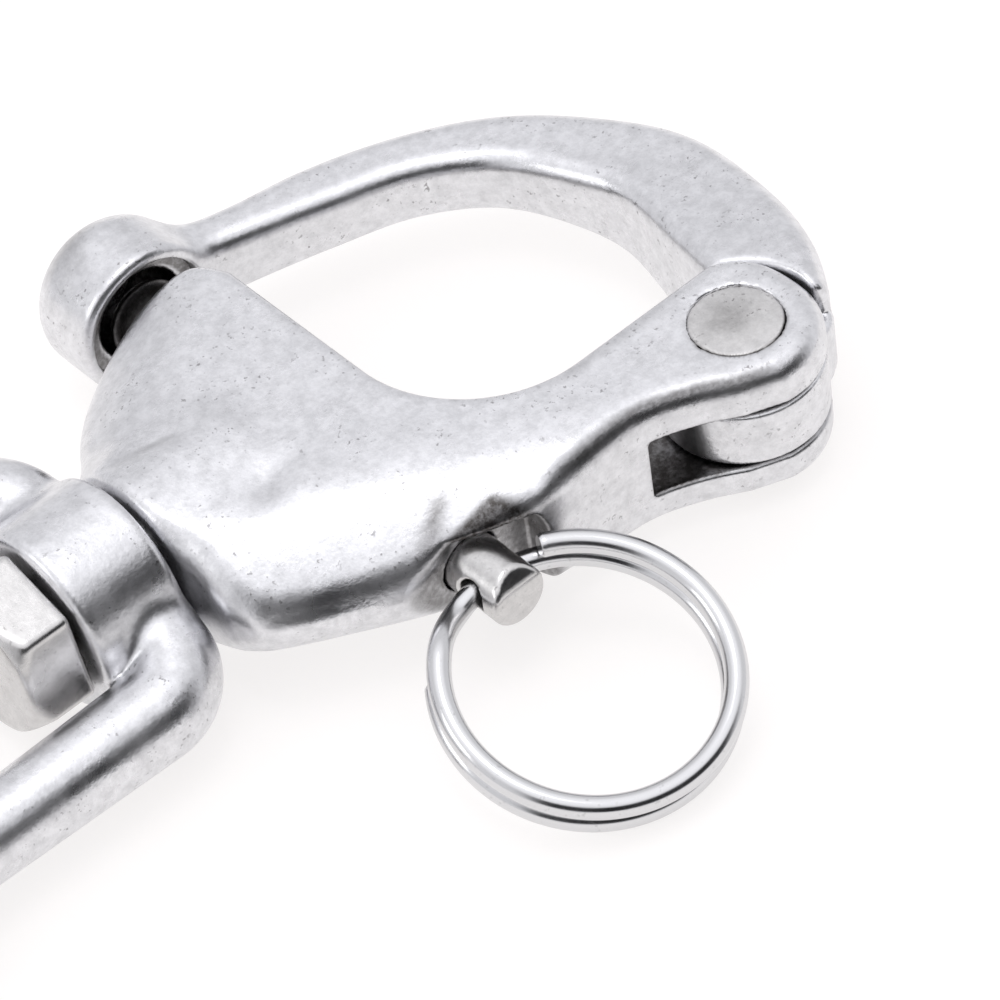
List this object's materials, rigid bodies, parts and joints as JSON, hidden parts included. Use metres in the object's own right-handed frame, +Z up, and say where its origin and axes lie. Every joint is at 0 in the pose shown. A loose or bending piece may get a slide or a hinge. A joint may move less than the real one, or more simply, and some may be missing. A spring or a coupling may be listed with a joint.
{
  "type": "snap shackle",
  "caption": "Cast steel snap shackle: hinged bail latched by a sprung plunger with a pull ring, and a swivelling fork closed by a clevis pin.",
  "frame": {"origin": "middle of the bottom of the bounding box, on the surface the shackle lies on", "axes": "+X from the fork to the bail along the swivel axis, +Y from the pull knob to the bail's nose along the plunger, +Z up, square to the body's flat faces"},
  "size_m": [0.0902, 0.069, 0.0143],
  "materials": {
    "cast_steel": "satin, tumbled casting",
    "turned_steel": "turned, satin",
    "wire_steel": "bright drawn wire"
  },
  "bodies": {
    "body": {"body": "cast_steel", "pivot_rivet": "turned_steel", "swivel_bolt": "turned_steel", "plunger_spring": "wire_steel"},
    "bail": {"bail": "cast_steel"},
    "plunger": {"plunger_pin": "turned_steel"},
    "pull_ring": {"pull_ring": "wire_steel"},
    "fork": {"swivel_fork": "cast_steel"},
    "clevis_pin": {"clevis_pin": "turned_steel"},
    "clevis_ring": {"clevis_ring": "wire_steel"}
  },
  "joints": [
    {"name": "bail_hinge", "type": "hinge", "parent": "body", "child": "bail", "pos_m": [0.03213, -0.01318, 0.00714], "axis": [0, 0, 1], "range_deg": [-110, 0]},
    {"name": "plunger_slide", "type": "slide", "parent": "body", "child": "plunger", "axis": [0, -1, 0], "range_m": [0, 0.0045], "stiffness_N_per_m": 2000, "springref_m": -0.003, "deforming": ["plunger_spring"]},
    {"name": "pull_ring_swing", "type": "hinge", "parent": "plunger", "child": "pull_ring", "pos_m": [0.00793, -0.01433, 0.00714], "axis": [-1, 0, 0], "range_deg": [-20, 24]},
    {"name": "fork_swivel", "type": "hinge", "parent": "body", "child": "fork", "pos_m": [-0.00807, 0.00562, 0.00714], "axis": [1, 0, 0], "continuous": true},
    {"name": "clevis_pin_spin", "type": "hinge", "parent": "fork", "child": "clevis_pin", "pos_m": [-0.03707, 0.00562, 0.00714], "axis": [0, 0.9781, 0.2079], "continuous": true},
    {"name": "clevis_ring_swing", "type": "hinge", "parent": "clevis_pin", "child": "clevis_ring", "pos_m": [-0.03707, 0.02127, 0.01047], "axis": [1, 0, 0], "range_deg": [-35, 125]}
  ]
}
